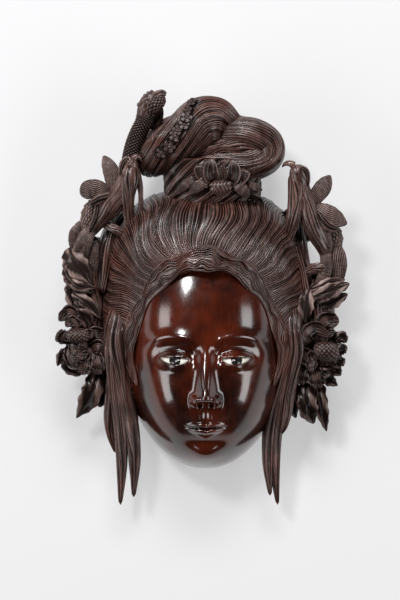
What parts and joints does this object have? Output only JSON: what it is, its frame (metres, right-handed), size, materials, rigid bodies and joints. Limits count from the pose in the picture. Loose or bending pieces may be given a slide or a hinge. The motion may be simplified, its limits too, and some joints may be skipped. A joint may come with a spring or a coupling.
{
  "type": "chinese wooden mask",
  "caption": "Carved hardwood mask of a court lady, hollow behind, with inlaid eyes, a tall topknot, crested birds and peonies.",
  "frame": {"origin": "middle of the bounding box at its lowest plane, which is the plane of the flat back rim the mask lies on", "axes": "+Z the way the face looks, away from the back rim; +Y from the chin up to the topknot; +X to the viewer's right"},
  "size_m": [0.2867, 0.4021, 0.1121],
  "materials": {
    "carved_wood": "polished dark red-brown hardwood, hair and ornaments darker and satin",
    "eye_bone": "polished off-white bone",
    "eye_horn": "polished black horn"
  },
  "bodies": {
    "root": {"mask_carving": "carved_wood", "eye_white_left": "eye_bone", "eye_white_right": "eye_bone", "iris_left": "eye_horn", "iris_right": "eye_horn"}
  },
  "joints": []
}
